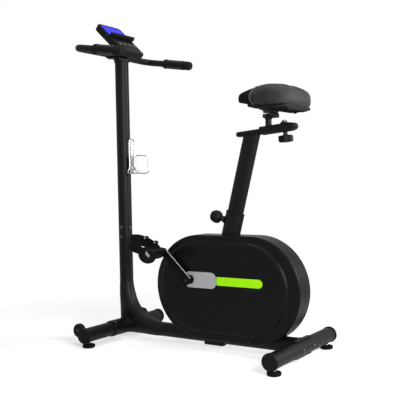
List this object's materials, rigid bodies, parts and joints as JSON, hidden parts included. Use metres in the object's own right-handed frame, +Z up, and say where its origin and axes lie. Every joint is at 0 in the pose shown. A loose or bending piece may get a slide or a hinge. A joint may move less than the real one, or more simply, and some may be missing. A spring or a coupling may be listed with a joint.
{
  "type": "upright exercise bike",
  "caption": "Upright low-entry exercise bike: belt-driven magnetic flywheel in a round-ended case, height-adjustable saddle, U handlebar, console, bottle cage, transport wheels.",
  "frame": {"origin": "on the floor, below the middle of the overall box", "axes": "+X the way the rider faces, +Y to the rider's left, +Z up"},
  "size_m": [1.0036, 0.528, 1.3919],
  "materials": {
    "frame_paint": "satin black powder coat",
    "shell_plastic": "fine-grained black",
    "rubber": "matt black",
    "steel": "machined",
    "cast": "turned rim",
    "chrome_wire": "polished",
    "silver_trim": "silver grey",
    "green_trim": "lime green",
    "lens_blue": "blue backlit display window",
    "leatherette": "dark grey leatherette"
  },
  "bodies": {
    "base": {"frame": "frame_paint", "front_stabiliser": "frame_paint", "rear_stabiliser": "frame_paint", "front_cap_left": "rubber", "front_cap_right": "rubber", "rear_cap_left": "rubber", "rear_cap_right": "rubber", "rear_bolt_left": "steel", "rear_bolt_right": "steel", "upper_post": "frame_paint", "post_bolt_lower": "steel", "post_bolt_upper": "steel", "bar_head": "frame_paint", "handlebar": "frame_paint", "grip_left": "rubber", "grip_right": "rubber", "console": "shell_plastic", "console_lens": "lens_blue", "tablet_ledge": "shell_plastic", "bottle_cage": "chrome_wire", "seat_bushing": "rubber", "case_left": "shell_plastic", "case_right": "shell_plastic", "panel_left": "silver_trim", "panel_right": "silver_trim", "stripe_left": "green_trim", "stripe_right": "green_trim", "bearing_left": "steel", "bearing_right": "steel", "drive_belt": "rubber", "flywheel_axle": "steel", "brake_motor": "shell_plastic"},
    "crank": {"crank_axle": "steel", "drive_pulley": "shell_plastic", "crank_left": "frame_paint", "crank_right": "frame_paint"},
    "flywheel_rotor": {"flywheel": "cast"},
    "left_pedal": {"pedal_left": "rubber", "pedal_strap_left": "rubber"},
    "right_pedal": {"pedal_right": "rubber", "pedal_strap_right": "rubber"},
    "brake": {"brake_arm": "steel"},
    "seat": {"seat_post": "frame_paint"},
    "height_pin": {"pop_pin": "rubber"},
    "carriage": {"seat_carriage": "frame_paint", "carriage_cap": "rubber", "saddle_clamp": "frame_paint"},
    "carriage_screw": {"slide_knob": "rubber"},
    "saddle": {"saddle_base": "shell_plastic", "saddle_cushion": "leatherette"},
    "left_wheel": {"transport_wheel_left": "rubber"},
    "right_wheel": {"transport_wheel_right": "rubber"},
    "front_left_foot": {"front_foot_left": "rubber"},
    "front_right_foot": {"front_foot_right": "rubber"},
    "rear_left_foot": {"rear_foot_left": "rubber"},
    "rear_right_foot": {"rear_foot_right": "rubber"},
    "key_1": {"button_1": "silver_trim"},
    "key_2": {"button_2": "silver_trim"},
    "key_3": {"button_3": "silver_trim"},
    "key_4": {"button_4": "silver_trim"}
  },
  "joints": [
    {"name": "crank_spin", "type": "hinge", "parent": "base", "child": "crank", "pos_m": [-0.0013, 0, 0.291], "axis": [0, 1, 0], "continuous": true},
    {"name": "flywheel_spin", "type": "hinge", "parent": "base", "child": "flywheel_rotor", "pos_m": [-0.2963, 0, 0.262], "axis": [0, 1, 0], "continuous": true},
    {"name": "left_pedal_spin", "type": "hinge", "parent": "crank", "child": "left_pedal", "pos_m": [0.10925, 0.15, 0.39964], "axis": [0, 1, 0], "continuous": true},
    {"name": "right_pedal_spin", "type": "hinge", "parent": "crank", "child": "right_pedal", "pos_m": [-0.11185, -0.15, 0.18236], "axis": [0, 1, 0], "continuous": true},
    {"name": "brake_swing", "type": "hinge", "parent": "base", "child": "brake", "pos_m": [-0.2263, 0, 0.383], "axis": [0, 1, 0], "range_deg": [0, 8]},
    {"name": "seat_height", "type": "slide", "parent": "base", "child": "seat", "axis": [-0.2588, 0, 0.9659], "range_m": [-0.16, 0.04]},
    {"name": "height_pin_pull", "type": "slide", "parent": "base", "child": "height_pin", "axis": [0.9659, 0, 0.2588], "range_m": [0, 0.012], "stiffness_N_per_m": 1500, "springref_m": -0.004},
    {"name": "seat_fore_aft", "type": "slide", "parent": "seat", "child": "carriage", "axis": [-0.9969, 0, 0.0785], "range_m": [0, 0.03]},
    {"name": "carriage_screw_turn", "type": "hinge", "parent": "carriage", "child": "carriage_screw", "pos_m": [-0.41165, 0, 0.88748], "axis": [0.0785, 0, 0.9969], "range_deg": [0, 360]},
    {"name": "saddle_tilt", "type": "hinge", "parent": "carriage", "child": "saddle", "pos_m": [-0.3663, 0, 0.9425], "axis": [0, 1, 0], "range_deg": [-5, 5]},
    {"name": "left_wheel_spin", "type": "hinge", "parent": "base", "child": "left_wheel", "pos_m": [0.4721, 0.216, 0.063], "axis": [0, 1, 0], "continuous": true},
    {"name": "right_wheel_spin", "type": "hinge", "parent": "base", "child": "right_wheel", "pos_m": [0.4721, -0.216, 0.063], "axis": [0, 1, 0], "continuous": true},
    {"name": "front_left_foot_level", "type": "slide", "parent": "base", "child": "front_left_foot", "axis": [0, 0, -1], "range_m": [0, 0.012]},
    {"name": "front_right_foot_level", "type": "slide", "parent": "base", "child": "front_right_foot", "axis": [0, 0, -1], "range_m": [0, 0.012]},
    {"name": "rear_left_foot_level", "type": "slide", "parent": "base", "child": "rear_left_foot", "axis": [0, 0, -1], "range_m": [0, 0.012]},
    {"name": "rear_right_foot_level", "type": "slide", "parent": "base", "child": "rear_right_foot", "axis": [0, 0, -1], "range_m": [0, 0.012]},
    {"name": "key_1_press", "type": "slide", "parent": "base", "child": "key_1", "axis": [0.6858, 0, -0.7278], "range_m": [0, 0.002], "stiffness_N_per_m": 400, "springref_m": -0.0005},
    {"name": "key_2_press", "type": "slide", "parent": "base", "child": "key_2", "axis": [0.6858, 0, -0.7278], "range_m": [0, 0.002], "stiffness_N_per_m": 400, "springref_m": -0.0005},
    {"name": "key_3_press", "type": "slide", "parent": "base", "child": "key_3", "axis": [0.6858, 0, -0.7278], "range_m": [0, 0.002], "stiffness_N_per_m": 400, "springref_m": -0.0005},
    {"name": "key_4_press", "type": "slide", "parent": "base", "child": "key_4", "axis": [0.6858, 0, -0.7278], "range_m": [0, 0.002], "stiffness_N_per_m": 400, "springref_m": -0.0005}
  ],
  "couplings": [
    {"joint": "crank_spin", "follows": "flywheel_spin", "ratio": 0.18854}
  ]
}
